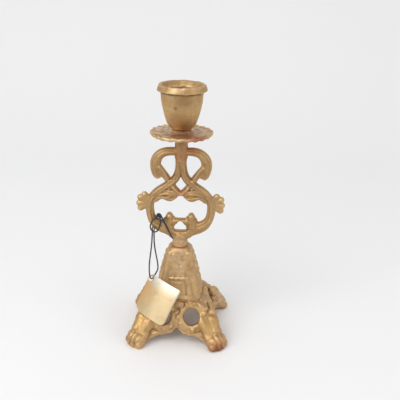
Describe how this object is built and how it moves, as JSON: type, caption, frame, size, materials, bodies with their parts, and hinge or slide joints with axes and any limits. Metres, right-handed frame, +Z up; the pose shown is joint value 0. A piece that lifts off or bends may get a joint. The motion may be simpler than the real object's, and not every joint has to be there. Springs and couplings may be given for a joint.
{
  "type": "candlestick",
  "caption": "Cast brass candlestick: flared candle cup and scalloped drip pan on a flat scrolled openwork stem, over a tapered pierced base with paw feet, with a card tag on a cord.",
  "frame": {"origin": "on the ground, on the axis of the stem, in the middle between the paws", "axes": "+Z up along the stem, +X to the right across the flat openwork, -Y towards the front, where the tag hangs"},
  "size_m": [0.0744, 0.0744, 0.1843],
  "materials": {
    "cast_brass": "satin cast brass with brown tarnish",
    "steel": "plain steel",
    "foil_card": "gold foil on card",
    "black_cord": "matt black cord"
  },
  "bodies": {
    "stand": {"base_casting": "cast_brass", "base_screw": "steel", "base_washer": "steel", "stem_casting": "cast_brass", "drip_pan": "cast_brass", "tag_cord_hitch": "black_cord", "tag_cord_tails": "black_cord", "tag_cord_knot": "black_cord"},
    "stud": {"cup_stud": "steel"},
    "cup": {"candle_cup": "cast_brass"},
    "tag_loop": {"tag_cord_drop": "black_cord"},
    "tag_card": {"hang_tag": "foil_card"}
  },
  "joints": [
    {"name": "cup_lift", "type": "slide", "parent": "stand", "child": "stud", "axis": [0, 0, 1], "range_m": [0, 0.0048]},
    {"name": "cup_turn", "type": "hinge", "parent": "stud", "child": "cup", "pos_m": [0, 0, 0.1538], "axis": [0, 0, 1], "range_deg": [0, 2160]},
    {"name": "tag_swing", "type": "hinge", "parent": "stand", "child": "tag_loop", "pos_m": [-0.019, -0.0057, 0.0792], "axis": [-1, 0, 0], "range_deg": [0, 60]},
    {"name": "tag_turn", "type": "hinge", "parent": "tag_loop", "child": "tag_card", "pos_m": [-0.01949, -0.0129, 0.04512], "axis": [-0.4145, -0.7796, 0.4695], "range_deg": [0, 40]}
  ],
  "couplings": [
    {"joint": "cup_lift", "follows": "cup_turn", "m_per_rad": 0.00012732}
  ]
}
